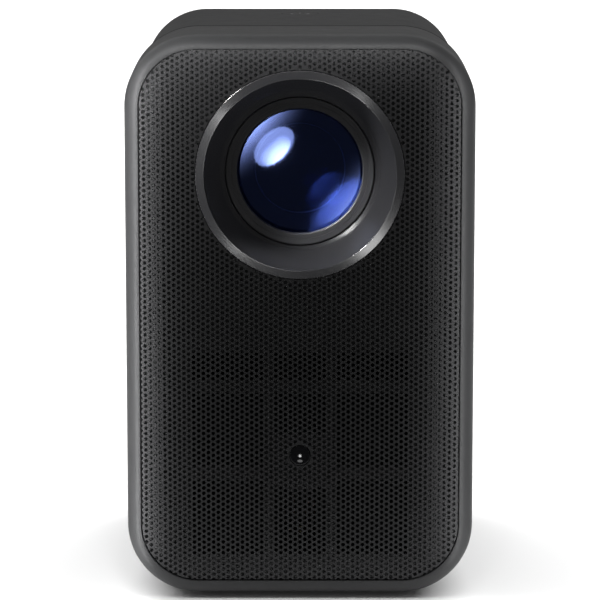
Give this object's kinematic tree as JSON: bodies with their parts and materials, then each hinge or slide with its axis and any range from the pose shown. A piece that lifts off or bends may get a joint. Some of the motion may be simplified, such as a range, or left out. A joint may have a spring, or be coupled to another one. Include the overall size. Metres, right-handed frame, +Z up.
{
  "type": "home projector",
  "caption": "Upright rounded-box home projector: perforated front, large round lens at the top, small sensor window, folded light engine and rear ports.",
  "frame": {"origin": "on the floor, under the middle of the body's outline", "axes": "+Z up, lens looks towards -Y, +X to the right of someone facing the lens"},
  "size_m": [0.1252, 0.145, 0.2045],
  "materials": {
    "shell_plastic": "fine satin-textured moulded plastic, dark grey",
    "housing_plastic": "fine textured moulded plastic, darker grey",
    "perforated_steel": "satin dark grey paint over perforated sheet",
    "inner_black_plastic": "matt black moulded plastic",
    "gloss_black_plastic": "polished black",
    "window_acrylic": "tinted black acrylic, polished",
    "coated_glass": "coated optical glass with a blue-violet reflex",
    "optical_sheet": "clear grooved or coated sheet",
    "mirror_glass": "front-silvered glass",
    "panel_glass": "liquid crystal cell behind polariser film",
    "circuit_board": "green solder mask",
    "plated_steel": "bright plated sheet steel",
    "fin_aluminium": "plain aluminium",
    "copper": "bare copper",
    "brass": "turned brass",
    "rubber": "matt black rubber",
    "foam": "open-cell foam",
    "gear_nylon": "natural moulded gear plastic",
    "cone_paper": "pressed black paper cone",
    "cable_film": "amber flat cable film",
    "lamp_board": "white solder mask with a yellow emitter"
  },
  "bodies": {
    "root": {"front_shell": "shell_plastic", "front_grille": "perforated_steel", "front_baffle": "inner_black_plastic", "lens_trim_ring": "gloss_black_plastic", "sensor_window": "window_acrylic", "sensor_module": "circuit_board", "main_housing": "housing_plastic", "rear_cover": "housing_plastic", "rear_screws": "plated_steel", "base_vent_cover": "housing_plastic", "dust_filter": "foam", "rubber_feet": "rubber", "tripod_insert": "brass", "button_board": "circuit_board", "dc_jack": "inner_black_plastic", "dc_jack_pin": "plated_steel", "hdmi_socket": "plated_steel", "usb_socket": "plated_steel", "audio_jack": "inner_black_plastic", "mainboard": "circuit_board", "board_shields": "plated_steel", "power_board": "circuit_board", "wifi_antennas": "circuit_board", "lens_mount": "inner_black_plastic", "focus_ring_clip": "plated_steel", "focus_motor": "plated_steel", "motor_bracket": "plated_steel", "mirror_housing": "inner_black_plastic", "mirror": "mirror_glass", "engine_housing": "inner_black_plastic", "field_fresnel": "optical_sheet", "lcd_panel": "panel_glass", "lcd_flat_cable": "cable_film", "polariser_glass": "optical_sheet", "collimating_fresnel": "optical_sheet", "light_funnel": "fin_aluminium", "condenser_lens": "coated_glass", "led_module": "lamp_board", "heat_spreader": "copper", "heat_pipes": "copper", "heat_sink": "fin_aluminium", "exhaust_fan_frame": "inner_black_plastic", "fan_gasket": "foam", "engine_blower_frame": "inner_black_plastic", "speaker_box": "inner_black_plastic", "speaker_baskets": "plated_steel"},
    "focus_ring": {"focus_ring": "gear_nylon"},
    "focus_pinion": {"focus_pinion": "gear_nylon"},
    "lens_group": {"lens_barrel": "inner_black_plastic", "lens_retaining_ring": "inner_black_plastic", "front_lens": "coated_glass", "middle_lens": "coated_glass", "rear_lens": "coated_glass"},
    "exhaust_rotor": {"exhaust_fan_rotor": "inner_black_plastic"},
    "blower_rotor": {"engine_blower_rotor": "inner_black_plastic"},
    "power_button": {"power_button": "housing_plastic"},
    "left_cone": {"left_speaker_cone": "cone_paper"},
    "right_cone": {"right_speaker_cone": "cone_paper"}
  },
  "joints": [
    {"name": "focus_ring_turn", "type": "hinge", "parent": "root", "child": "focus_ring", "pos_m": [0, 0, 0.1544], "axis": [0, 1, 0], "range_deg": [-75, 75]},
    {"name": "lens_slide", "type": "slide", "parent": "root", "child": "lens_group", "axis": [0, 1, 0], "range_m": [-0.005, 0.005]},
    {"name": "focus_pinion_spin", "type": "hinge", "parent": "root", "child": "focus_pinion", "pos_m": [0.02765, 0, 0.12675], "axis": [0, 1, 0], "range_deg": [-345, 345]},
    {"name": "exhaust_fan_spin", "type": "hinge", "parent": "root", "child": "exhaust_rotor", "pos_m": [0, 0.0575, 0.046], "axis": [0, 1, 0], "continuous": true},
    {"name": "blower_spin", "type": "hinge", "parent": "root", "child": "blower_rotor", "pos_m": [0, 0.049, 0.104], "axis": [0, 1, 0], "continuous": true},
    {"name": "power_button_press", "type": "slide", "parent": "root", "child": "power_button", "axis": [0, 0, -1], "range_m": [0, 0.0005], "stiffness_N_per_m": 800, "springref_m": -0.0005},
    {"name": "left_cone_stroke", "type": "slide", "parent": "root", "child": "left_cone", "axis": [0, 1, 0], "range_m": [-0.001, 0.001], "stiffness_N_per_m": 1500},
    {"name": "right_cone_stroke", "type": "slide", "parent": "root", "child": "right_cone", "axis": [0, 1, 0], "range_m": [-0.001, 0.001], "stiffness_N_per_m": 1500}
  ],
  "couplings": [
    {"joint": "lens_slide", "follows": "focus_ring_turn", "m_per_rad": 0.0038},
    {"joint": "focus_pinion_spin", "follows": "focus_ring_turn", "ratio": -4.5714}
  ]
}
